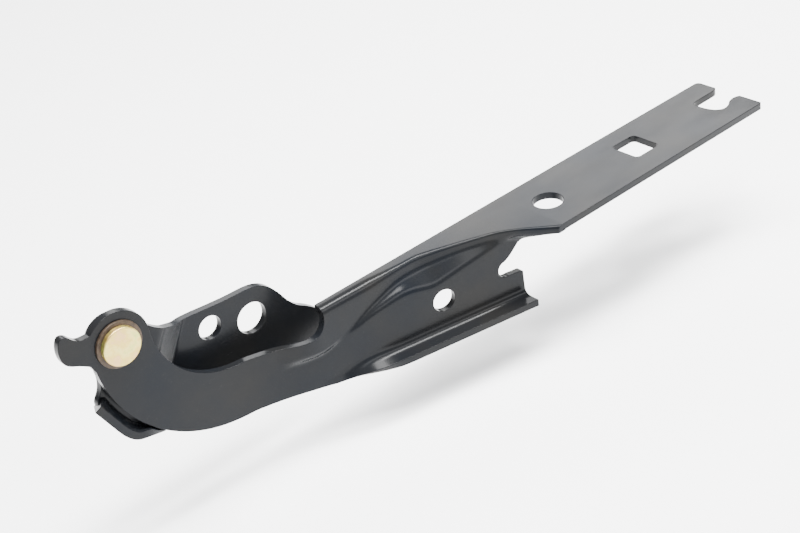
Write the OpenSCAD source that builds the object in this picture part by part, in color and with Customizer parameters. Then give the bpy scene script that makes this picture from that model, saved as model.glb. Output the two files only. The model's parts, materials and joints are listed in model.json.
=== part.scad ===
// Hood hinge for a car: two pressed steel sheets on one rivet.
// The origin is the centre of the bracket's larger bolt hole, on the face that meets the car's body.
// Sizes and places are given from the pivot axis, and placed() then moves each piece to the origin.
// +X runs towards the hood end, +Z is up, and the rivet's head faces -Y.

/* [Sheet] */
// Thickness of the arm's steel sheet
arm_t = 3; // [2.6:0.1:3.4]
// Thickness of the bracket's steel sheet
bracket_t = 3; // [2.6:0.1:3.4]
// Outer radius of the bend between the flange and the web
fold_r = 4.5; // [4:0.5:6]
// Radius of the pressed ridges in the web
ridge_r = 5; // [3:0.5:8]
// Inner radius of the bend above the lower lip
lip_r = 4; // [3:0.5:5]

/* [Flange] */
// Height of the flange's top face from the pivot axis
flange_z = -27; // [-29:0.5:-25]
// Distance from the pivot axis to the flange's front edge
flange_front = 41.5; // [40:0.5:44]
// Width of the flange
flange_w = 36.5; // [34:0.5:38]
// Distance from the pivot axis to the end of the flange
flange_end = 306.5; // [290:0.5:330]
// Diameter of the round hood bolt hole
hood_hole_d = 13; // [9:0.5:15]
// Place of the round hole along the flange
hood_hole_x = 190; // [186:0.5:200]
// Place of the round hole across the flange, from the front edge
hood_hole_v = 18; // [15:0.5:21]
// Side of the square locating hole along the flange
square_l = 13; // [9:0.5:15]
// Side of the square locating hole across the flange
square_w = 14.5; // [9:0.5:16]
// Place of the square hole along the flange
square_x = 244.5; // [230:0.5:255]
// Place of the square hole across the flange, from the front edge
square_v = 19.5; // [16:0.5:21]
// Corner radius of the square hole
square_r = 2; // [1:0.5:3]
// Width of the open slot in the flange's end
slot_w = 11.6; // [8:0.2:13]
// Depth of the open slot
slot_l = 18; // [12:0.5:22]
// Radius of the corners at the slot's closed end
slot_r = 3; // [2:0.5:4]
// Place of the slot across the flange, from the front edge
slot_v = 19; // [16:0.5:21]

/* [Gooseneck and web] */
// Radius of the arm's eye
eye_r = 12.5; // [12:0.5:14]
// Centre of the gooseneck's bend behind the pivot axis
goose_x = 46; // [44:0.5:48]
// Outer radius of the gooseneck's bend
goose_out = 57; // [56:0.5:58]
// Inner radius of the gooseneck's bend
goose_in = 33.3; // [31:0.1:35]
// Angle at which the web runs forward from the pivot plane
web_yaw = 11.5; // [9:0.5:13]
// Distance from the pivot axis to the bend where the web turns forward
web_bend_x = 50; // [46:1:56]
// Distance from the pivot axis to the neck's edge
neck_x = 80.5; // [78:0.5:84]
// Depth of the web's lower edge under the pivot axis
web_low = 60.5; // [58:0.5:64]
// Distance from the pivot axis to the web's free end
web_end = 168.5; // [166:0.5:171]
// Length of the lower lip, from its bend
lip_l = 7.5; // [6:0.5:9]
// Diameter of the round hole in the web
web_hole_d = 10; // [8:0.5:11]
// Place of the web's hole along the web
web_hole_x = 132; // [126:1:138]
// Depth of the web's hole under the pivot axis
web_hole_z = 47; // [45:0.5:50]
// Width of the open notch at the web's end
notch_w = 7.6; // [6:0.2:8.6]
// Place of the notch's round end along the web
notch_x = 161.5; // [159:0.5:163]
// Depth of the notch under the pivot axis
notch_z = 45; // [44:0.5:46]

/* [Bracket] */
// Set-back of the hole plate behind the bracket's eye
joggle = 7; // [5:0.5:8]
// Radius of the bracket's eye
bracket_eye_r = 10; // [9.5:0.5:11]
// Diameter of the smaller body bolt hole
small_hole_d = 10; // [8:0.5:11]
// Place of the smaller hole from the pivot axis
small_hole_x = 41.5; // [39:0.5:43]
// Depth of the smaller hole under the pivot axis
small_hole_z = 21.5; // [20:0.5:23]
// Diameter of the larger body bolt hole
large_hole_d = 13.3; // [11:0.1:14]
// Place of the larger hole from the pivot axis
large_hole_x = 59.8; // [58:0.2:62]
// Depth of the larger hole under the pivot axis
large_hole_z = 27.2; // [26:0.2:29]
// Length of the hole plate from the pivot axis
plate_end = 92; // [88:0.5:93]
// Depth of the plate's lower edge under the pivot axis
plate_low = 46; // [44:0.5:50]
// How far the stop lip reaches in front of the pivot plane
stop_reach = 4.5; // [4:0.25:5.5]
// Gap between the stop lip and the gooseneck's edge
lip_gap = 0.7; // [0.5:0.1:1.2]

/* [Pivot] */
// Diameter of the rivet's shank
shank_d = 10; // [8:0.5:11]
// Diameter of the rivet's flat head
head_d = 15; // [14:0.5:16]
// Thickness of the rivet's head
head_t = 2.2; // [1.6:0.1:2.8]
// Diameter of the rivet's formed tail
tail_d = 15; // [13:0.5:17]
// Thickness of the rivet's formed tail
tail_t = 2.4; // [1.8:0.1:3]
// Wall of the flanged bush
bush_wall = 1; // [0.8:0.1:1.4]
// Diameter of the bush's flange
bush_flange_d = 18.4; // [17:0.2:20]
// Thickness of the thrust washer between the sheets
washer_t = 0.9; // [0.6:0.1:1.2]
// Diameter of the thrust washer
washer_d = 18; // [16:0.5:19]
// Radial clearance between the bush and the rivet
run_gap = 0.05; // [0.02:0.01:0.08]
// Clearance along the axis at each turning face
end_gap = 0.05; // [0.02:0.01:0.1]
// Radial clearance of pieces that are pressed or staked in
seat_gap = 0.01; // [0.01:0.01:0.03]

/* [Hidden] */
$fn = 64;
black = [0.10, 0.11, 0.12];
far = 400;
goose_z = -1.5;
flange_rear = flange_front - flange_w;
bush_od = shank_d + 2 * run_gap + 2 * bush_wall;
eye_hole_d = bush_od + 2 * seat_gap;
bracket_y = washer_t + 2 * end_gap;
plate_y = bracket_y + joggle;
bush_front = arm_t + bush_wall;

// Distance that the fold of the neck stands in front of the flange's rear edge
neck_fold = 5.3;
// Plan view of the fold as steps in X with the fold's distance from the rear edge
fold_plan = [[neck_x, neck_fold], [128, 6.6], [139, 10.6], [150, 15], [160, 19.3], [166, 24],
             [172, 30.5], [178, 35.5], [185, 38.6], [195, 41.5], [210, 42]];
// Height of the ridge above the web's lower edge, along X
ridge_plan = [[60, 13.5], [79, 13], [92, 17.1], [101, 21], [115, 24.5], [121, 23.5], [128, 21.5],
              [144, 25.1], [158, 27.7], [166, 28.7], [172, 25], [180, 20], [200, 18]];
// Height of the ridge's step along X: the upper panel starts this far above the ridge
step_plan = [[60, 2], [101, 2], [115, 3], [121, 6], [128, 9.5], [144, 5.8], [158, 3.2], [166, 2.2],
             [172, 5], [180, 9], [200, 9]];

function ease(u) = u <= 0 ? 0 : u >= 1 ? 1 : u * u * (3 - 2 * u);
bend_half = 9;
// Front face of the web: straight, then turned forward through a gentle bend
function web_y(x) =
    let (d = x - web_bend_x, k = tan(web_yaw))
    -arm_t - (d < -bend_half ? 0 : d < bend_half ? k * pow(d + bend_half, 2) / (4 * bend_half) : k * d);
// Front face of the sheet just under the fold
function fold_y(x) = -flange_rear - lookup(x, fold_plan);
// Share of the flange's form that a section has: none in the gooseneck, all from the neck on
function formed(x) = ease((x - (neck_x - 22)) / 20);
// The lip turns forward between these two places
lip_start = neck_x + 3;
lip_full = neck_x + 26;
function lip_turn(x) = 90 * ease((x - lip_start) / (lip_full - lip_start));

// Sharp corners of the front face in the plane X = x, from the flange's rear edge to the lip's edge
function corners(x) =
    let (
        f = formed(x),
        w = web_y(x),
        top = flange_z * f + (1 - f) * (eye_r + 6),
        y1 = f * fold_y(x) + (1 - f) * w,
        zr = -web_low + lookup(x, ridge_plan),
        zs = min(zr + lookup(x, step_plan), flange_z - 0.6),
        y0 = f * -flange_rear + (1 - f) * w,
        z0 = top + (1 - f) * 6,
        a = lip_turn(x))
    [[y0, z0], [y1, top], [y1, f * zs + (1 - f) * (zs + 1)], [w, zr], [w, -web_low],
     [w - lip_l * sin(a), -web_low - lip_l * cos(a)]];

function unit(v) = v / max(norm(v), 1e-6);
// Points of a round corner at b between a and c, as n + 1 points of a fillet of radius r
function fillet(a, b, c, r, n) =
    let (
        u = unit(a - b), v = unit(c - b),
        la = norm(a - b), lc = norm(c - b),
        cosang = max(-1, min(1, u * v)),
        half = acos(cosang) / 2,
        t = min(max(r / max(tan(half), 1e-3), 0.1 * min(la, lc)), 0.48 * la, 0.48 * lc),
        p = b + u * t, q = b + v * t)
    [for (i = [0 : n]) let (s = i / n) p * pow(1 - s, 2) + b * 2 * s * (1 - s) + q * s * s];

bend_n = 6;
// Front face of one section with its bends rounded
function front(x) =
    let (c = corners(x))
    concat([c[0]],
           fillet(c[0], c[1], c[2], fold_r, bend_n),
           fillet(c[1], c[2], c[3], ridge_r, bend_n - 2),
           fillet(c[2], c[3], c[4], ridge_r, bend_n - 2),
           fillet(c[3], c[4], c[5], lip_r + arm_t, bend_n),
           [c[5]]);
// Same section moved through the sheet's thickness, square to the face at each point
function back(p) =
    let (m = len(p) - 1)
    [for (i = [0 : m])
        let (d = unit(p[min(i + 1, m)] - p[max(i - 1, 0)]))
        p[i] - arm_t * [d[1], -d[0]]];
function section(x) =
    let (p = front(x), q = back(p), m = len(p) - 1)
    [for (v = concat(p, [for (i = [m : -1 : 0]) q[i]])) [x, v[0], v[1]]];

// The arm is flat up to the first place and the flange is flat from the second one on
flat_x = web_bend_x - bend_half;
plate_x = 205;
stations = concat([for (i = [0 : 6]) flat_x + (neck_x - 4 - flat_x) * i / 6],
                  [for (i = [0 : 27]) neck_x + 1.3 + (plate_x - neck_x - 1.3) * i / 27]);

// Pressed sheet before it is trimmed: the sections joined into one solid
module formed_sheet() {
    rings = [for (x = stations) section(x)];
    n = len(rings[0]);
    m = len(rings);
    points = [for (r = rings, p = r) p];
    sides = [for (k = [0 : m - 2], i = [0 : n - 1], h = [0, 1])
        let (a = k * n + i, b = k * n + (i + 1) % n, c = a + n, d = b + n)
        h == 0 ? [a, d, b] : [a, c, d]];
    half = n / 2;
    function cap(o, flip) = [for (i = [0 : half - 2], h = [0, 1])
        let (a = o + i, b = o + i + 1, c = o + n - 1 - i, d = o + n - 2 - i)
        flip ? (h == 0 ? [a, d, b] : [a, c, d]) : (h == 0 ? [a, b, d] : [a, d, c])];
    polyhedron(points, concat(sides, cap(0, false), cap((m - 1) * n, true)), convexity = 10);
}

// Moves a piece from the pivot's frame to the bolt hole's frame
module placed() {
    translate([-large_hole_x, -plate_y - bracket_t, large_hole_z])
        children();
}

// Turns an outline drawn in X and Z into a block along Y
module along_y(y0, y1) {
    translate([0, y1, 0])
        rotate([90, 0, 0])
            linear_extrude(y1 - y0, convexity = 8)
                children();
}

// Stop tab on the arm's eye, with its hooked upper edge
module tab_outline() {
    polygon([[0, -eye_r], [-eye_r + 0.5, -3], [-16, -0.4], [-19.4, 1.2], [-21.6, 3.6], [-22, 8.6],
             [-20.4, 13.2], [-17.6, 12.9], [-15.4, 10.2], [-13.4, 8.6], [-10, 8.4], [0, 6]]);
}

// Side view of the arm's web from the eye to the free end, without the flange
module arm_outline() {
    web_top = flange_z - arm_t;
    difference() {
        union() {
            circle(eye_r);
            tab_outline();
            intersection() {
                translate([goose_x, goose_z])
                    circle(goose_out, $fn = 120);
                translate([goose_x - goose_out, -far])
                    square([goose_out, far]);
            }
            polygon([[goose_x - 1, 0], [goose_x - 1, goose_z - goose_out], [62, -60.5],
                     [neck_x + 4, -web_low - 3.2], [neck_x + 12, -web_low - 3.1], [neck_x + 20, -web_low - 3.1],
                     [neck_x + 26, -web_low - 3.6],
                     [neck_x + 30, -far / 4], [flange_end + 10, -far / 4],
                     [flange_end + 10, 0]]);
        }
        translate([goose_x, goose_z])
            circle(goose_in, $fn = 120);
        // Open mouth of the gooseneck, up to the neck's edge
        neck_r = 6;
        mouth_low = goose_z - goose_in;
        polygon([[goose_x - 12, 40], [goose_x - 12, mouth_low + 8], [goose_x, mouth_low],
                 [neck_x - 14, mouth_low - 3.1], [neck_x - 7, mouth_low - 3.7], [neck_x - 2.6, mouth_low - 2.2],
                 [neck_x - 0.4, mouth_low + 1.6], [neck_x, mouth_low + 5], [neck_x, 40]]);
        // Free end of the web, with the notch and the curve up to the flange's front edge
        translate([notch_x, -notch_z])
            circle(notch_w / 2);
        polygon([[notch_x - 1, -notch_z + notch_w / 2 - 0.1], [notch_x + 5.5, -38.5],
                 [notch_x + 11.5, -35.6], [notch_x + 16, -32.7], [notch_x + 20.5, -31.2],
                 [notch_x + 28, -30.4], [notch_x + 34, web_top], [far, web_top],
                 [far, -far / 3], [web_end + 0.4, -far / 3], [web_end, -51], [web_end - 1, -48.8],
                 [web_end - 3.2, -47.2], [notch_x + 1.2, -notch_z - notch_w / 2 + 0.1]]);
    }
}

module flange_holes() {
    translate([hood_hole_x, hood_hole_v - flange_front, flange_z - far / 4])
        cylinder(h = far / 2, d = hood_hole_d);
    translate([square_x, square_v - flange_front, flange_z - far / 4])
        linear_extrude(far / 2)
            for (m = [0, 1])
                union() {
                    square([square_l - 2 * square_r * m, square_w - 2 * square_r * (1 - m)], center = true);
                    for (i = [-1, 1], j = [-1, 1])
                        translate([i * (square_l / 2 - square_r), j * (square_w / 2 - square_r)])
                            circle(square_r);
                }
    translate([flange_end - slot_l, slot_v - flange_front, flange_z - far / 4])
        linear_extrude(far / 2)
            union() {
                for (j = [-1, 1])
                    translate([slot_r, j * (slot_w / 2 - slot_r)])
                        circle(slot_r);
                translate([0, slot_r - slot_w / 2])
                    square([far, slot_w - 2 * slot_r]);
                translate([slot_r, -slot_w / 2])
                    square([far, slot_w]);
            }
}

// Pressed part of the arm between the flat gooseneck and the flat flange
module formed_middle() {
    resize([0, 0, 0])
        intersection() {
            formed_sheet();
            union() {
                along_y(-far, far)
                    arm_outline();
                translate([neck_x + 0.4, -far / 2, flange_z - arm_t - 0.7])
                    cube([flange_end - neck_x, far, arm_t + 2]);
            }
            translate([flat_x, -flange_front, -far / 2])
                cube([plate_x - flat_x, far, far]);
        }
}

module hood_arm() {
    color(black)
        placed() difference() {
            union() {
                along_y(-arm_t, 0)
                    intersection() {
                        arm_outline();
                        translate([-far, -far])
                            square([far + flat_x, 2 * far]);
                    }
                formed_middle();
                translate([plate_x, -flange_front, flange_z - arm_t])
                    cube([flange_end - plate_x, flange_w, arm_t]);
            }
            flange_holes();
            rotate([90, 0, 0])
                cylinder(h = far, d = eye_hole_d, center = true);
            translate([web_hole_x, web_y(web_hole_x), -web_hole_z])
                rotate([90, 0, -web_yaw])
                    cylinder(h = 40, d = web_hole_d, center = true);
        }
}

// Lines along which the bracket's sheet bends back to its hole plate
joggle_start = [16.6, -11.9];
joggle_dir = [-6.5, -11];
joggle_run = 13;

// Bracket sheet before it is trimmed: its stepped section drawn along the bends
module joggled_sheet() {
    t = bracket_t;
    a = atan2(joggle_dir[1], joggle_dir[0]);
    r = t;
    translate([joggle_start[0], 0, joggle_start[1]])
        rotate([0, -a - 90, 0])
            translate([0, 0, -far / 2])
                linear_extrude(far, convexity = 4)
                    polygon(concat(
                        [[-far, bracket_y]],
                        fillet([-far, bracket_y], [0, bracket_y], [joggle_run, plate_y], 3 * r, 5),
                        fillet([0, bracket_y], [joggle_run, plate_y], [far, plate_y], 2 * r, 5),
                        [[far, plate_y], [far, plate_y + t]],
                        fillet([far, plate_y + t], [joggle_run - 0.7, plate_y + t], [-0.7, bracket_y + t], 3 * r, 5),
                        fillet([joggle_run, plate_y + t], [-0.7, bracket_y + t], [-far, bracket_y + t], 2 * r, 5),
                        [[-far, bracket_y + t]]));
}

module bracket_outline() {
    low = -plate_low;
    difference() {
        union() {
            circle(bracket_eye_r);
            polygon([[-9.5, 3], [-8.8, -12], [-9.4, -16.2], [-10.8, -19], [-12.2, -20.8], [-12.6, -22.8],
                     [-11.9, -24.5], [-10.1, -29.2], [-6.6, -35.2], [-3.6, -39.6], [-1.2, -41.9],
                     [2.1, -43.9], [6, -45.3], [10.2, -46.5], [16, low - 1], [26, low], [plate_end - 6, low], [plate_end - 1.4, low + 1.6],
                     [plate_end, low + 5.5], [plate_end - 1, -39], [86, -36], [81, -33], [77, -28.5],
                     [74.4, -24], [72, -20.5], [69.6, -17.8], [67, -16], [64, -14.8], [60, -14.1], [52, -13.9],
                     [44, -13.2], [36, -12.3], [31.5, -12], [27, -10.9], [23, -8.4], [19, -5.9], [15, -2.6],
                     [11.5, 1.5], [8, 6]]);
        }
    }
}

// Stop lip along the bracket's lower left edge, turned forward and leaning outward.
// The lines are the outside of the lip at its root and at its front edge.
lip_root = [[-13.2, -23], [-11.3, -29], [-9.6, -32.5], [-7.8, -35.8], [-4.8, -40.4], [-2, -43.2],
            [1.5, -45.2], [5.5, -46.6], [10, -47.8]];
lip_front = [[-16.3, -20.2], [-12.4, -28], [-10.3, -32.3], [-8.1, -36.3], [-5.2, -39.6], [-2.5, -41.1],
             [0.4, -41.7], [4.2, -43.4], [9, -46.4]];
// Each ring of the lip: its share of the way from root to front, and its thickness
lip_rings = [[0, 5.4], [0.36, 5.2], [0.56, 4.1], [1, bracket_t]];
module stop_lip() {
    n = len(lip_root);
    root_y = bracket_y + bracket_t - 0.6;
    // The front edge runs back to the sheet at the lip's right end
    function reach(i) = i < n - 2 ? -stop_reach : i < n - 1 ? -stop_reach + 1.2 : -0.5;
    function outer(i, s) =
        let (q = lip_root[i] * (1 - s) + lip_front[i] * s) [q[0], root_y * (1 - s) + reach(i) * s, q[1]];
    function inward(i, s) =
        let (a = outer(max(i - 1, 0), s), b = outer(min(i + 1, n - 1), s), d = unit([b[0] - a[0], b[2] - a[2]]))
        [-d[1], 0, d[0]];
    rings = [for (r = lip_rings)
        concat([for (i = [0 : n - 1]) outer(i, r[0])],
               [for (i = [n - 1 : -1 : 0]) outer(i, r[0]) + r[1] * inward(i, r[0])])];
    m = 2 * n;
    k = len(rings);
    sides = [for (j = [0 : k - 2], i = [0 : m - 1], h = [0, 1])
        let (a = j * m + i, b = j * m + (i + 1) % m, c = a + m, d = b + m)
        h == 0 ? [a, d, b] : [a, c, d]];
    function cap(o, flip) = [for (i = [0 : n - 2], h = [0, 1])
        let (a = o + i, b = o + i + 1, c = o + m - 1 - i, d = o + m - 2 - i)
        flip ? (h == 0 ? [a, b, d] : [a, d, c]) : (h == 0 ? [a, d, b] : [a, c, d])];
    polyhedron([for (r = rings, p = r) p], concat(sides, cap(0, true), cap((k - 1) * m, false)),
               convexity = 6);
}

module body_bracket() {
    color(black)
        placed() difference() {
            union() {
                intersection() {
                    joggled_sheet();
                    along_y(-far / 2, far / 2)
                        bracket_outline();
                }
                difference() {
                    stop_lip();
                    translate([goose_x, -stop_reach - 5, goose_z])
                        rotate([-90, 0, 0])
                            cylinder(h = stop_reach + 5.4, r = goose_out + lip_gap);
                }
            }
            rotate([90, 0, 0])
                cylinder(h = far, d = shank_d + 2 * seat_gap, center = true);
            translate([small_hole_x, plate_y, -small_hole_z])
                rotate([90, 0, 0])
                    cylinder(h = 30, d = small_hole_d, center = true);
            translate([large_hole_x, plate_y, -large_hole_z])
                rotate([90, 0, 0])
                    cylinder(h = 30, d = large_hole_d, center = true);
        }
}

// Half profile turned round the pivot axis: x is the radius and y the place along +Y
module turned() {
    placed() rotate([-90, 0, 0])
        rotate_extrude($fn = 96)
            children();
}

module pivot_rivet() {
    head_y = -bush_front - end_gap;
    tail_y = bracket_y + bracket_t;
    edge = 0.4;
    color([0.86, 0.74, 0.42])
        turned()
            polygon([[0, head_y - head_t], [head_d / 2 - edge, head_y - head_t],
                     [head_d / 2, head_y - head_t + edge], [head_d / 2, head_y], [shank_d / 2, head_y],
                     [shank_d / 2, tail_y], [tail_d / 2, tail_y], [tail_d / 2, tail_y + tail_t - 1],
                     [tail_d / 2 - 1.4, tail_y + tail_t], [0, tail_y + tail_t]]);
}

module pivot_bush() {
    bore = shank_d / 2 + run_gap;
    color([0.55, 0.40, 0.26])
        turned()
            polygon([[bore, -bush_front], [bush_flange_d / 2, -bush_front], [bush_flange_d / 2, -arm_t],
                     [bush_od / 2, -arm_t], [bush_od / 2, 0], [bore, 0]]);
}

module thrust_washer() {
    color([0.25, 0.24, 0.22])
        turned()
            polygon([[shank_d / 2 + run_gap, end_gap], [washer_d / 2, end_gap],
                     [washer_d / 2, end_gap + washer_t], [shank_d / 2 + run_gap, end_gap + washer_t]]);
}

hood_arm();
body_bracket();
pivot_rivet();
pivot_bush();
thrust_washer();
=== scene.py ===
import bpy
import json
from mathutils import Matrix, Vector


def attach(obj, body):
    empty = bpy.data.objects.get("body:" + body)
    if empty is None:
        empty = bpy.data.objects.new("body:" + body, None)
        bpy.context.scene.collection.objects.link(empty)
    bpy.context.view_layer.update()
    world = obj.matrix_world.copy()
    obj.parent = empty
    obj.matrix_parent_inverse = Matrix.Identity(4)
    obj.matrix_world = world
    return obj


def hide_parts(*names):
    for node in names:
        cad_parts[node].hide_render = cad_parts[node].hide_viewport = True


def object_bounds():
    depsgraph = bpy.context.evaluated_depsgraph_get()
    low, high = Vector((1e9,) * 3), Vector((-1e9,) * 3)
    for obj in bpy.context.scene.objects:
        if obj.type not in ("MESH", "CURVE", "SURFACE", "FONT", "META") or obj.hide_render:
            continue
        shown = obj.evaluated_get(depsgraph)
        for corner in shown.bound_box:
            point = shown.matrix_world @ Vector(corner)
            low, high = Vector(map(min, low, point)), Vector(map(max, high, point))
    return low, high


bl_info = {
    "name": "Hood Hinge",
    "version": (1, 0, 0),
    "blender": (4, 5, 0),
    "location": "View3D > Sidebar > Hood Hinge",
    "description": "Builds the looks of a car's hood hinge round its packed CAD part",
    "category": "Object",
}

import json
import math

import bmesh
import bpy
from mathutils import Matrix, Vector

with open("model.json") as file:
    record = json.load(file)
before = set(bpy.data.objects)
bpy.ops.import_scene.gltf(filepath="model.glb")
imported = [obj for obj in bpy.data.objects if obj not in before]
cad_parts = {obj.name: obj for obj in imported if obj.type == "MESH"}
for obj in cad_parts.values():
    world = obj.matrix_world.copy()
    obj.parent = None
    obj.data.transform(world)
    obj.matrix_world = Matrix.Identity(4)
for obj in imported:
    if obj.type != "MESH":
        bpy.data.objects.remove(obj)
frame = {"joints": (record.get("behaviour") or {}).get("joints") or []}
CAD_LOW, CAD_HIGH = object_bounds()
MM = 0.001
# Sizes are given in millimetres from the pivot axis, and this is where the pivot lies in the frame
PIVOT = Vector(frame["joints"][0]["pos_m"])


# Settings

class HoodHingeSettings(bpy.types.PropertyGroup):
    sheet: bpy.props.FloatProperty(
        name="Sheet", description="Thickness of both steel sheets", default=0.003, min=0.002, max=0.004,
        unit="LENGTH")
    rings: bpy.props.IntProperty(
        name="Sections", description="Number of sections along the pressed part of the arm", default=150,
        min=40, max=300)
    bend_steps: bpy.props.IntProperty(
        name="Bend steps", description="Number of steps round each bend", default=10, min=4, max=20)
    edge: bpy.props.FloatProperty(
        name="Edge radius", description="Radius of the coat on cut edges", default=0.0005, min=0.0001,
        max=0.001, unit="LENGTH")
    coat: bpy.props.FloatVectorProperty(
        name="Coat", description="Colour of the dip coat", default=(0.0060, 0.0066, 0.0076), subtype="COLOR",
        size=3, min=0.0, max=1.0)
    coat_rough: bpy.props.FloatProperty(
        name="Coat roughness", description="Roughness of the dip coat", default=0.20, min=0.05, max=0.8)
    zinc: bpy.props.FloatVectorProperty(
        name="Zinc", description="Colour of the yellow zinc plate", default=(0.50, 0.38, 0.10), subtype="COLOR",
        size=3, min=0.0, max=1.0)


# Small helpers

def mesh_object(name, points, faces):
    mesh = bpy.data.meshes.new(name)
    mesh.from_pydata([MM * Vector(p) + PIVOT for p in points], [], faces)
    mesh.validate()
    if len(faces) > 1:
        bm = bmesh.new()
        bm.from_mesh(mesh)
        bmesh.ops.remove_doubles(bm, verts=bm.verts, dist=1e-7)
        bmesh.ops.recalc_face_normals(bm, faces=bm.faces)
        bm.to_mesh(mesh)
        bm.free()
    obj = bpy.data.objects.new(name, mesh)
    bpy.context.scene.collection.objects.link(obj)
    return obj


def evaluated(obj):
    deps = bpy.context.evaluated_depsgraph_get()
    mesh = bpy.data.meshes.new_from_object(obj.evaluated_get(deps))
    obj.modifiers.clear()
    old = obj.data
    obj.data = mesh
    bpy.data.meshes.remove(old)


def boolean(obj, other, operation):
    m = obj.modifiers.new("cut", "BOOLEAN")
    m.operation = operation
    m.solver = "MANIFOLD"
    m.object = other
    evaluated(obj)
    bpy.data.objects.remove(other)
    if len(obj.data.polygons) < 6:
        raise RuntimeError(f"{obj.name}: the cut left nothing")


def smooth(obj, degrees=32):
    obj.data.shade_smooth()
    obj.data.set_sharp_from_angle(angle=math.radians(degrees))


def prism(name, outline, y0, y1):
    """A block along Y over an outline in X and Z, given anticlockwise as the viewer sees it."""
    n = len(outline)
    points = [(x, y0, z) for x, z in outline] + [(x, y1, z) for x, z in outline]
    faces = [tuple(range(n)), tuple(range(2 * n - 1, n - 1, -1))]
    faces += [(i, i + n, (i + 1) % n + n, (i + 1) % n) for i in range(n)]
    return mesh_object(name, points, faces)


def upright(name, outline, z0, z1):
    """A block along Z over an outline in X and Y, given anticlockwise from above."""
    n = len(outline)
    points = [(x, y, z0) for x, y in outline] + [(x, y, z1) for x, y in outline]
    faces = [tuple(range(n - 1, -1, -1)), tuple(range(n, 2 * n))]
    faces += [(i, (i + 1) % n, (i + 1) % n + n, i + n) for i in range(n)]
    return mesh_object(name, points, faces)


def drill(name, centre, direction, radius, length, steps=96):
    d = Vector(direction).normalized()
    turn = d.to_track_quat("Z", "Y")
    points = []
    for end in (-length / 2, length / 2):
        for i in range(steps):
            a = 2 * math.pi * i / steps
            points.append(Vector(centre) + turn @ Vector((radius * math.cos(a), radius * math.sin(a), end)))
    faces = [tuple(range(steps - 1, -1, -1)), tuple(range(steps, 2 * steps))]
    faces += [(i, (i + 1) % steps, (i + 1) % steps + steps, i + steps) for i in range(steps)]
    return mesh_object(name, points, faces)


def arc(cx, cz, r, a0, a1, steps):
    return [(cx + r * math.cos(math.radians(a0 + (a1 - a0) * i / steps)),
             cz + r * math.sin(math.radians(a0 + (a1 - a0) * i / steps))) for i in range(steps + 1)]


def rounded(cx, cy, lx, ly, r, steps=8):
    out = []
    for k, (sx, sy) in enumerate(((1, 1), (-1, 1), (-1, -1), (1, -1))):
        out += arc(cx + sx * (lx / 2 - r), cy + sy * (ly / 2 - r), r, 90 * k, 90 * k + 90, steps)
    return out


def soften(points, passes=2):
    """Rounds the corners of an open line by cutting them, and keeps its ends."""
    for _ in range(passes):
        out = [points[0]]
        for a, b in zip(points, points[1:]):
            out.append(tuple(0.75 * u + 0.25 * v for u, v in zip(a, b)))
            out.append(tuple(0.25 * u + 0.75 * v for u, v in zip(a, b)))
        out.append(points[-1])
        points = out
    return points


def ease(u):
    u = max(0.0, min(1.0, u))
    return u * u * (3 - 2 * u)


def lookup(x, table):
    if x <= table[0][0]:
        return table[0][1]
    for (a, u), (b, v) in zip(table, table[1:]):
        if x <= b:
            return u + (v - u) * (x - a) / (b - a)
    return table[-1][1]


def curve(x, table):
    """The table's value at x, averaged over a few millimetres so that it runs smoothly."""
    return sum(lookup(x + d, table) * w for d, w in ((-4, 1), (-2, 2), (0, 3), (2, 2), (4, 1))) / 9


def unit(v):
    n = math.hypot(*v) or 1.0
    return (v[0] / n, v[1] / n)


def fillet(a, b, c, r, n, share=0.48):
    u = unit((a[0] - b[0], a[1] - b[1]))
    v = unit((c[0] - b[0], c[1] - b[1]))
    la = math.hypot(a[0] - b[0], a[1] - b[1])
    lc = math.hypot(c[0] - b[0], c[1] - b[1])
    half = math.acos(max(-1, min(1, u[0] * v[0] + u[1] * v[1]))) / 2
    t = min(max(r / max(math.tan(half), 1e-3), 0.1 * min(la, lc)), share * la, 0.48 * lc)
    p = (b[0] + u[0] * t, b[1] + u[1] * t)
    q = (b[0] + v[0] * t, b[1] + v[1] * t)
    out = []
    for i in range(n + 1):
        s = i / n
        out.append(tuple(p[k] * (1 - s) ** 2 + b[k] * 2 * s * (1 - s) + q[k] * s * s for k in (0, 1)))
    return out


# Sizes of the arm in millimetres

FLANGE_Z, FLANGE_REAR, FLANGE_FRONT, FLANGE_END = -27.0, -5.0, -41.5, 306.5
NECK_X, WEB_LOW, WEB_END, LIP = 80.5, 60.5, 168.5, 7.5
BEND_X, BEND_HALF, SLOPE = 50.0, 16.0, math.tan(math.radians(11.5))
FOLD = [(80.5, 5.3), (128, 6.6), (139, 10.6), (150, 15), (160, 19.3), (166, 24), (170, 28), (174, 32.5),
        (178, 36.6), (182, 40.3), (186, 43.5), (192, 46), (210, 46.5)]
RIDGE = [(60, 13.5), (79, 13), (92, 17.1), (101, 21), (115, 24.5), (121, 23.5), (128, 21.5), (144, 25.1),
         (158, 27.7), (166, 28.7), (172, 25), (180, 20), (200, 18)]
STEP = [(60, 2), (101, 2), (115, 3), (121, 5), (128, 6.8), (144, 5), (158, 3.2), (166, 2.2), (172, 5),
        (180, 9), (200, 9)]


def web_y(x, t):
    d = x - BEND_X
    if d < -BEND_HALF:
        return -t
    if d < BEND_HALF:
        return -t - SLOPE * (d + BEND_HALF) ** 2 / (4 * BEND_HALF)
    return -t - SLOPE * d


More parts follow.
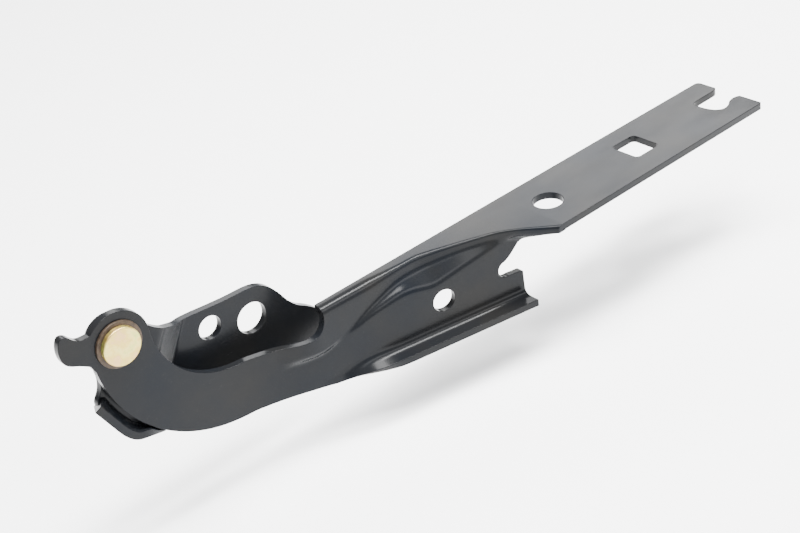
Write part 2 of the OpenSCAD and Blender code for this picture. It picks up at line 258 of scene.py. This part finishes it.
def corners(x, t):
    f = ease((x - (NECK_X - 22)) / 20)
    w = web_y(x, t)
    top = FLANGE_Z * f + (1 - f) * 18.5
    y1 = f * (FLANGE_REAR - curve(x, FOLD)) + (1 - f) * w
    zr = -WEB_LOW + curve(x, RIDGE)
    zs = min(zr + curve(x, STEP), FLANGE_Z - 0.6)
    along = max(0.0, min(1.0, (x - NECK_X + 8) / 40))
    turned = ease(along)
    a = math.radians(90 * turned)
    lip = 2.8 + (LIP - 2.8) * turned
    low = -WEB_LOW + 1.8 * math.sin(math.pi * along) ** 2
    return [(f * FLANGE_REAR + (1 - f) * w, top + (1 - f) * 6), (y1, top), (y1, f * zs + (1 - f) * (zs + 1)),
            (w, zr), (w, low), (w - lip * math.sin(a), low - lip * math.cos(a))]


def section(x, t, n):
    c = corners(x, t)
    p = [c[0]] + fillet(c[0], c[1], c[2], 5.5, n, 0.8) + fillet(c[1], c[2], c[3], 5, n - 2)
    p += fillet(c[2], c[3], c[4], 5, n - 2) + fillet(c[3], c[4], c[5], 4 + t, n) + [c[5]]
    m = len(p) - 1
    q = []
    for i in range(m + 1):
        d = unit((p[min(i + 1, m)][0] - p[max(i - 1, 0)][0], p[min(i + 1, m)][1] - p[max(i - 1, 0)][1]))
        q.append((p[i][0] - t * d[1], p[i][1] + t * d[0]))
    return [(x, y, z) for y, z in p + q[::-1]]


def arm_outline():
    """The arm in side view, anticlockwise from the neck's upper end."""
    low = -1.5 - 33.3
    out = [(NECK_X, -20), (NECK_X, low + 5), (NECK_X - 0.4, low + 1.6), (NECK_X - 2.6, low - 2.2),
           (NECK_X - 7, low - 3.7), (NECK_X - 14, low - 3.1), (47, low - 0.1)]
    out = [(NECK_X, -20)] + soften(out[1:], 2)
    out += arc(46, -1.5, 33.3, 270, 177.4, 60)
    out += arc(0, 0, 12.5, 0, 138, 50)
    out += soften([(-10, 8.4), (-13.4, 8.6), (-15.4, 10.2), (-17.6, 12.9), (-20.4, 13.2), (-22, 8.6),
                   (-21.6, 3.6), (-19.4, 1.2), (-16, -0.4), (-12.1, -3.1)], 2)
    out += arc(0, 0, 12.5, 195, 210.5, 6)[1:]
    out += arc(46, -1.5, 57, 185, 270, 70)
    out += soften([(47, -58.6), (62, -60.5), (78, -62.9), (88, -63.7), (100, -63.88), (120, -63.88)], 2)
    out += [(WEB_END + 0.4, -63.88)]
    out += soften([(WEB_END + 0.4, -63), (WEB_END + 0.4, -50.5), (WEB_END + 0.4, -48.9), (WEB_END - 1, -48.8),
                   (162.7, -48.7)], 2)
    out += arc(161.5, -45, 3.8, 286, 102, 24)
    out += soften([(161.4, -41), (163.8, -39.3), (166.5, -36.4), (169.5, -33.3), (172, -31.2), (175, -30.4),
                   (182, -30.2), (196, -30.2)], 2)
    out += [(FLANGE_END, -30.2), (FLANGE_END, -20)]
    return out


def slot_outline():
    """The open slot seen from above, anticlockwise, with its wider round end."""
    line = soften([(308, -14), (305.8, -16.2), (303, -16.6), (292.5, -16.6), (288.5, -17.4), (288.3, -22),
                   (288.9, -26.6), (290.4, -29.8), (293.2, -31.6), (296.9, -30.8), (299.8, -28.7), (303.6, -28),
                   (306, -28.9), (308, -31)], 2)
    return line + [(315, -31), (315, -14)]


def end_outline():
    """A rectangle from above that rounds the corners of the flange's end."""
    r = 2.2
    near, far = FLANGE_FRONT - 0.01, FLANGE_REAR + 0.01
    out = [(-60, -70), (260, -70), (260, near)]
    out += arc(FLANGE_END - 1, near + 1, 1, 270, 360, 6) + arc(FLANGE_END - r, far - r, r, 0, 90, 8)
    return out + [(260, far), (260, 20), (-60, 20)]


def build_arm(s):
    t = s.sheet / MM
    n = s.bend_steps
    xs = [-30.0, 33.0]
    xs += [33 + (205 - 33) * i / s.rings for i in range(1, s.rings + 1)]
    xs += [FLANGE_END + 4]
    rings = [section(x, t, n) for x in xs]
    m = len(rings[0])
    points = [p for r in rings for p in r]
    faces = []
    for k in range(len(rings) - 1):
        for i in range(m):
            a, b = k * m + i, k * m + (i + 1) % m
            faces.append((a, a + m, b + m, b))
    h = m // 2
    last = (len(rings) - 1) * m
    for i in range(h - 1):
        faces.append((i, i + 1, m - 2 - i, m - 1 - i))
        faces.append((last + i, last + m - 1 - i, last + m - 2 - i, last + i + 1))
    arm = mesh_object("arm_sheet", points, faces)
    boolean(arm, prism("arm_trim", arm_outline()[::-1], FLANGE_FRONT, 6), "INTERSECT")
    boolean(arm, drill("eye_cut", (0, 0, 0), (0, 1, 0), 6.06, 30), "DIFFERENCE")
    boolean(arm, drill("web_cut", (132, web_y(132, t), -47), (-math.sin(math.radians(11.5)),
                                                             -math.cos(math.radians(11.5)), 0), 5, 30), "DIFFERENCE")
    boolean(arm, drill("hood_cut", (190, -23.5, -28), (0, 0, 1), 6.5, 30), "DIFFERENCE")
    boolean(arm, upright("square_cut", rounded(245, -22.1, 13.8, 15, 2), -45, -15), "DIFFERENCE")
    boolean(arm, upright("slot_cut", slot_outline(), -45, -15), "DIFFERENCE")
    boolean(arm, upright("end_trim", end_outline(), -90, 40), "INTERSECT")
    smooth(arm)
    return arm


# The bracket

def build_bracket(s):
    t = s.sheet / MM
    eye, plate, run = 1.0, 8.0, 13.0
    a = math.atan2(-11, -6.5)
    along = (math.cos(a), math.sin(a))
    across = (-math.sin(a), math.cos(a))
    n = 10
    front = [(-90, eye)] + fillet((-90, eye), (0, eye), (run, plate), 9, n)
    front += fillet((0, eye), (run, plate), (150, plate), 6, n) + [(150, plate)]
    back = [(-90, eye + t)] + fillet((-90, eye + t), (-0.7, eye + t), (run - 0.7, plate + t), 6, n)
    back += fillet((-0.7, eye + t), (run - 0.7, plate + t), (150, plate + t), 9, n) + [(150, plate + t)]
    points, faces = [], []
    for side in (-120, 120):
        for u, y in front + back[::-1]:
            points.append((16.6 + across[0] * u + along[0] * side, y, -11.9 + across[1] * u + along[1] * side))
    m = len(front + back)
    for i in range(m):
        faces.append((i, (i + 1) % m, (i + 1) % m + m, i + m))
    h = m // 2
    for i in range(h - 1):
        faces.append((i, m - 1 - i, m - 2 - i, i + 1))
        faces.append((m + i, m + i + 1, 2 * m - 2 - i, 2 * m - 1 - i))
    bracket = mesh_object("bracket_sheet", points, faces)
    low = -51
    left = [(-9.7, 2), (-8.8, -12), (-9.4, -16.2), (-10.8, -19), (-12.2, -20.8), (-12.6, -22.8), (-11.9, -24.5),
            (-10.1, -29.2), (-6.6, -35.2), (-3.6, -39.6), (-1.2, -41.9), (2.1, -43.9), (6, -45.3),
            (10.2, -46.8), (16, -48.6), (26, low), (60, low)]
    right = [(86, low), (90.6, low + 1.6), (92, low + 5.5), (91.6, -41), (86, -36), (81, -33), (77, -28.5),
             (74.4, -24), (72, -20.5), (69.6, -17.8), (67, -16), (64, -14.8), (60, -14.1), (52, -13.9), (44, -13.2),
             (36, -12.3), (31.5, -12), (27, -10.9), (23, -8.4), (19, -5.9), (15, -2.6), (11.5, 1.5), (8.3, 5.6)]
    outline = arc(0, 0, 10, 34, 168, 50) + soften(left, 2) + soften(right, 2)
    boolean(bracket, prism("bracket_trim", outline[::-1], -20, 30), "INTERSECT")
    lip = build_lip(t)
    boolean(lip, drill("lip_relief", (46, -4.5, -1.5), (0, 1, 0), 57.7, 9.8, 240), "DIFFERENCE")
    boolean(bracket, lip, "UNION")
    boolean(bracket, drill("pivot_cut", (0, 0, 0), (0, 1, 0), 5.01, 60), "DIFFERENCE")
    boolean(bracket, drill("small_cut", (41.5, 9, -21.5), (0, 1, 0), 5, 30), "DIFFERENCE")
    boolean(bracket, drill("large_cut", (59.8, 9, -27.2), (0, 1, 0), 6.65, 30), "DIFFERENCE")
    smooth(bracket)
    return bracket


def build_lip(t):
    root = [(-13.2, -23), (-11.3, -29), (-9.6, -32.5), (-7.8, -35.8), (-4.8, -40.4), (-2, -43.2), (1.5, -45.2),
            (5.5, -46.6), (10, -47.8)]
    edge = [(-16.3, -20.2), (-12.4, -28), (-10.3, -32.3), (-8.1, -36.3), (-5.2, -39.6), (-2.5, -41.1),
            (0.4, -41.7), (4.2, -43.4), (9, -46.4)]
    reach = [(-4.5,)] * 7 + [(-3.3,), (-0.5,)]
    root, edge = soften(root, 2), soften(edge, 2)
    reach = [r[0] for r in soften(reach, 2)]
    n = len(root)
    shares = [(0, 5.4), (0.2, 5.4), (0.36, 5.2), (0.46, 4.7), (0.56, 4.1), (0.7, 3.5), (0.85, 3.1), (1, t)]
    rings = []
    for s, thick in shares:
        line = [((1 - s) * root[i][0] + s * edge[i][0], (1 - s) * 3.4 + s * reach[i],
                 (1 - s) * root[i][1] + s * edge[i][1]) for i in range(n)]
        inner = []
        for i in range(n):
            p, q = line[max(i - 1, 0)], line[min(i + 1, n - 1)]
            d = unit((q[0] - p[0], q[2] - p[2]))
            inner.append((line[i][0] - thick * d[1], line[i][1], line[i][2] + thick * d[0]))
        rings.append(line + inner[::-1])
    m = 2 * n
    points = [p for r in rings for p in r]
    faces = []
    for k in range(len(rings) - 1):
        for i in range(m):
            a, b = k * m + i, k * m + (i + 1) % m
            faces.append((a, a + m, b + m, b))
    last = (len(rings) - 1) * m
    for i in range(n - 1):
        faces.append((i, i + 1, m - 2 - i, m - 1 - i))
        faces.append((last + i, last + m - 1 - i, last + m - 2 - i, last + i + 1))
    return mesh_object("lip", points, faces)


# The pivot's turned pieces

def lathe(name, profile, steps=160):
    points, faces = [], []
    n = len(profile)
    for i in range(steps):
        a = 2 * math.pi * i / steps
        points += [(r * math.cos(a), y, r * math.sin(a)) for r, y in profile]
    for i in range(steps):
        j = (i + 1) % steps
        for k in range(n - 1):
            faces.append((i * n + k, i * n + k + 1, j * n + k + 1, j * n + k))
    obj = mesh_object(name, points, faces)
    smooth(obj, 35)
    return obj


def build_rivet():
    head = [(0.001, -6.22), (3.2, -6.24), (5.2, -6.25), (6.5, -6.25)] + [
        (7.0 + 0.5 * math.sin(a), -5.75 - 0.5 * math.cos(a)) for a in [math.pi / 2 * i / 8 for i in range(9)]]
    tail = [(7.5, -4.05), (5, -4.05), (5, 4), (7.5, 4), (7.5, 5.2), (6.9, 6.0), (5.6, 6.4), (0.001, 6.4)]
    return lathe("rivet", head + tail)


def build_bush():
    return lathe("bush", [(5.05, -3.85), (5.15, -4), (8.9, -4), (9.12, -3.9), (9.2, -3.7), (9.2, -3), (6.05, -3),
                          (6.05, 0), (5.05, 0), (5.05, -3.85)])


def build_washer():
    return lathe("washer", [(5.05, 0.05), (8.9, 0.05), (9, 0.15), (9, 0.85), (8.9, 0.95), (5.05, 0.95),
                            (5.05, 0.05)])


# Materials

class Nodes:
    """A material's node tree with short ways to add nodes and links."""

    def __init__(self, name):
        self.mat = bpy.data.materials.new(name)
        self.mat.use_nodes = True
        self.tree = self.mat.node_tree
        self.shader = self.tree.nodes["Principled BSDF"]
        self.coord = self.add("ShaderNodeTexCoord").outputs["Object"]

    def add(self, kind, **values):
        node = self.tree.nodes.new(kind)
        for key, value in values.items():
            setattr(node, key, value)
        return node

    def link(self, a, b):
        self.tree.links.new(a, b)

    def noise(self, scale, detail=3.0, rough=0.5, stretch=None):
        n = self.add("ShaderNodeTexNoise")
        n.inputs["Scale"].default_value = scale
        n.inputs["Detail"].default_value = detail
        n.inputs["Roughness"].default_value = rough
        source = self.coord
        if stretch:
            m = self.add("ShaderNodeMapping")
            m.inputs["Scale"].default_value = stretch
            self.link(source, m.inputs["Vector"])
            source = m.outputs["Vector"]
        self.link(source, n.inputs["Vector"])
        return n.outputs["Fac"]

    def ramp(self, fac, stops):
        r = self.add("ShaderNodeValToRGB")
        e = r.color_ramp.elements
        while len(e) < len(stops):
            e.new(0.5)
        for el, (pos, col) in zip(e, stops):
            el.position = pos
            el.color = tuple(col) + (1.0,) if len(col) == 3 else tuple(col)
        self.link(fac, r.inputs["Fac"])
        return r.outputs["Color"]

    def remap(self, fac, a, b, low, high):
        m = self.add("ShaderNodeMapRange")
        for key, v in (("From Min", a), ("From Max", b), ("To Min", low), ("To Max", high)):
            m.inputs[key].default_value = v
        self.link(fac, m.inputs["Value"])
        return m.outputs["Result"]

    def mix(self, fac, a, b):
        m = self.add("ShaderNodeMix", data_type="RGBA")
        self.link(fac, m.inputs["Factor"])
        for socket, v in ((m.inputs[6], a), (m.inputs[7], b)):
            if isinstance(v, tuple):
                socket.default_value = v + (1.0,)
            else:
                self.link(v, socket)
        return m.outputs[2]

    def bump(self, height, strength, distance, below=None):
        b = self.add("ShaderNodeBump")
        b.inputs["Strength"].default_value = strength
        b.inputs["Distance"].default_value = distance
        self.link(height, b.inputs["Height"])
        if below is not None:
            self.link(below, b.inputs["Normal"])
        return b.outputs["Normal"]

    def rounded(self, radius):
        b = self.add("ShaderNodeBevel", samples=6)
        b.inputs["Radius"].default_value = radius
        return b.outputs["Normal"]


def coat_material(name, s, dull=0.0):
    m = Nodes(name)
    base = tuple(s.coat)
    cloud = m.noise(28, 4, 0.55)
    warm = tuple(c * k for c, k in zip(base, (1.35, 1.22, 1.05)))
    cool = tuple(c * k for c, k in zip(base, (0.72, 0.82, 0.98)))
    tone = m.ramp(cloud, [(0.35, cool), (0.65, warm)])
    dust = m.remap(m.noise(1400, 2, 0.6), 0.64, 0.76, 0.0, 0.18)
    m.link(m.mix(dust, tone, (0.03, 0.029, 0.027)), m.shader.inputs["Base Color"])
    smear = m.noise(60, 5, 0.6, stretch=(0.35, 1, 1.4))
    m.link(m.remap(smear, 0.3, 0.7, s.coat_rough - 0.04 + dull, s.coat_rough + 0.08 + dull),
           m.shader.inputs["Roughness"])
    normal = m.rounded(s.edge)
    normal = m.bump(m.noise(14, 2, 0.4, stretch=(0.6, 1, 1)), 0.25, 0.0012, normal)
    normal = m.bump(m.noise(950, 2, 0.5), 0.05, 0.00005, normal)
    m.link(normal, m.shader.inputs["Normal"])
    m.shader.inputs["Specular IOR Level"].default_value = 0.09
    return m.mat


def zinc_material(s):
    m = Nodes("rivet_zinc")
    gold = tuple(s.zinc)
    patch = m.noise(190, 3, 0.55)
    tone = m.ramp(patch, [(0.36, (0.52, 0.34, 0.15)), (0.48, gold), (0.58, (0.54, 0.45, 0.15)),
                          (0.68, (0.40, 0.42, 0.12))])
    m.link(tone, m.shader.inputs["Base Color"])
    m.shader.inputs["Metallic"].default_value = 1.0
    m.link(m.remap(m.noise(800, 4, 0.6), 0.3, 0.7, 0.34, 0.52), m.shader.inputs["Roughness"])
    normal = m.rounded(0.0002)
    normal = m.bump(m.noise(1300, 3, 0.6), 0.35, 0.00006, normal)
    m.link(normal, m.shader.inputs["Normal"])
    return m.mat


def bronze_material():
    m = Nodes("bush_bronze")
    tone = m.ramp(m.noise(420, 4, 0.6), [(0.35, (0.020, 0.013, 0.008)), (0.65, (0.050, 0.032, 0.019))])
    m.link(tone, m.shader.inputs["Base Color"])
    m.shader.inputs["Metallic"].default_value = 0.6
    m.link(m.remap(m.noise(900, 3, 0.5), 0.3, 0.7, 0.42, 0.62), m.shader.inputs["Roughness"])
    m.link(m.bump(m.noise(2400, 2, 0.5), 0.3, 0.00004, m.rounded(0.0002)), m.shader.inputs["Normal"])
    return m.mat


def plastic_material():
    m = Nodes("washer_plastic")
    tone = m.ramp(m.noise(500, 3, 0.5), [(0.35, (0.030, 0.029, 0.027)), (0.65, (0.055, 0.052, 0.048))])
    m.link(tone, m.shader.inputs["Base Color"])
    m.link(m.remap(m.noise(1500, 3, 0.5), 0.3, 0.7, 0.5, 0.66), m.shader.inputs["Roughness"])
    m.link(m.bump(m.noise(3000, 2, 0.5), 0.2, 0.00003), m.shader.inputs["Normal"])
    return m.mat


def dress(obj, mat):
    obj.data.materials.clear()
    obj.data.materials.append(mat)


def join_in(obj, body, node):
    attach(obj, body)
    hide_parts(node)


# Operators

class HOODHINGE_OT_arm(bpy.types.Operator):
    """Build the arm that carries the hood"""
    bl_idname = "hoodhinge.arm"
    bl_label = "Arm"

    def execute(self, context):
        s = context.scene.hood_hinge
        obj = build_arm(s)
        dress(obj, coat_material("arm_coat", s))
        join_in(obj, "arm", "hood_arm")
        return {"FINISHED"}


class HOODHINGE_OT_bracket(bpy.types.Operator):
    """Build the bracket that bolts to the body"""
    bl_idname = "hoodhinge.bracket"
    bl_label = "Bracket"

    def execute(self, context):
        s = context.scene.hood_hinge
        obj = build_bracket(s)
        dress(obj, coat_material("bracket_coat", s, 0.02))
        join_in(obj, "bracket", "body_bracket")
        return {"FINISHED"}


class HOODHINGE_OT_pivot(bpy.types.Operator):
    """Build the rivet, its bush and the washer between the sheets"""
    bl_idname = "hoodhinge.pivot"
    bl_label = "Pivot"

    def execute(self, context):
        s = context.scene.hood_hinge
        rivet = build_rivet()
        dress(rivet, zinc_material(s))
        join_in(rivet, "bracket", "pivot_rivet")
        bush = build_bush()
        dress(bush, bronze_material())
        join_in(bush, "arm", "pivot_bush")
        washer = build_washer()
        dress(washer, plastic_material())
        join_in(washer, "bracket", "thrust_washer")
        return {"FINISHED"}


class HOODHINGE_OT_stage(bpy.types.Operator):
    """Set the floor, the lights and the camera"""
    bl_idname = "hoodhinge.stage"
    bl_label = "Stage"

    def execute(self, context):
        scene = context.scene
        z = (CAD_LOW[2] - PIVOT.z) / MM - 25
        floor = mesh_object("floor", [(-4000, -4000, z), (4000, -4000, z), (4000, 4000, z), (-4000, 4000, z)],
                            [(0, 1, 2, 3)])
        m = bpy.data.materials.new("floor")
        m.use_nodes = True
        sh = m.node_tree.nodes["Principled BSDF"]
        sh.inputs["Base Color"].default_value = (0.92, 0.92, 0.92, 1)
        sh.inputs["Roughness"].default_value = 0.9
        sh.inputs["Specular IOR Level"].default_value = 0.1
        floor.data.materials.append(m)
        world = bpy.data.worlds.new("studio")
        world.use_nodes = True
        back = world.node_tree.nodes["Background"]
        back.inputs["Color"].default_value = (0.96, 0.98, 1.0, 1)
        back.inputs["Strength"].default_value = 0.6
        scene.world = world
        centre = PIVOT + Vector((0.15, -0.02, -0.03))
        for name, place, width, depth, power in (
                ("back box", (0.75, 0.80, 0.62), 0.9, 0.5, 13.0),
                ("top box", (0.09, -0.12, 1.10), 0.9, 0.6, 66.0),
                ("strip box", (0.76, -0.20, 1.10), 0.24, 0.6, 40.0),
                ("front box", (0.40, -0.80, 0.62), 0.9, 0.3, 8.0),
                ("side box", (-0.85, -0.35, 0.55), 0.5, 0.5, 4.0)):
            light = bpy.data.lights.new(name, "AREA")
            light.shape = "RECTANGLE"
            light.size, light.size_y, light.energy = width, depth, power
            lamp = bpy.data.objects.new(name, light)
            lamp.location = PIVOT + Vector(place)
            lamp.rotation_euler = (lamp.location - centre).to_track_quat("Z", "Y").to_euler()
            scene.collection.objects.link(lamp)
        az, el, roll = math.radians(-35.37), math.radians(32.21), math.radians(-9.65)
        behind = Vector((math.sin(az) * math.cos(el), -math.cos(az) * math.cos(el), math.sin(el)))
        right = Vector((math.cos(az), math.sin(az), 0))
        up = behind.cross(right)
        across = math.cos(roll) * right + math.sin(roll) * up
        above = math.cos(roll) * up - math.sin(roll) * right
        data = bpy.data.cameras.new("camera")
        data.sensor_width = 36
        data.lens = 67.1
        data.clip_start, data.clip_end = 0.02, 20
        camera = bpy.data.objects.new("camera", data)
        turn = Matrix((across, above, behind)).transposed().to_4x4()
        camera.matrix_world = Matrix.Translation(PIVOT + Vector((-0.16995, -0.41851, 0.28746))) @ turn
        scene.collection.objects.link(camera)
        scene.camera = camera
        return {"FINISHED"}


class HOODHINGE_PT_panel(bpy.types.Panel):
    bl_label = "Hood Hinge"
    bl_idname = "HOODHINGE_PT_panel"
    bl_space_type = "VIEW_3D"
    bl_region_type = "UI"
    bl_category = "Hood Hinge"

    def draw(self, context):
        s = context.scene.hood_hinge
        for name in ("sheet", "rings", "bend_steps", "edge", "coat", "coat_rough", "zinc"):
            self.layout.prop(s, name)
        for op in ("arm", "bracket", "pivot", "stage"):
            self.layout.operator("hoodhinge." + op)


CLASSES = (HoodHingeSettings, HOODHINGE_OT_arm, HOODHINGE_OT_bracket, HOODHINGE_OT_pivot, HOODHINGE_OT_stage,
           HOODHINGE_PT_panel)


def register():
    for c in CLASSES:
        bpy.utils.register_class(c)
    bpy.types.Scene.hood_hinge = bpy.props.PointerProperty(type=HoodHingeSettings)


def unregister():
    del bpy.types.Scene.hood_hinge
    for c in reversed(CLASSES):
        bpy.utils.unregister_class(c)


def main():
    register()
    for op in (bpy.ops.hoodhinge.arm, bpy.ops.hoodhinge.bracket, bpy.ops.hoodhinge.pivot,
               bpy.ops.hoodhinge.stage):
        if op() != {"FINISHED"}:
            raise RuntimeError("a piece was not built")


if __name__ == "__main__":
    main()
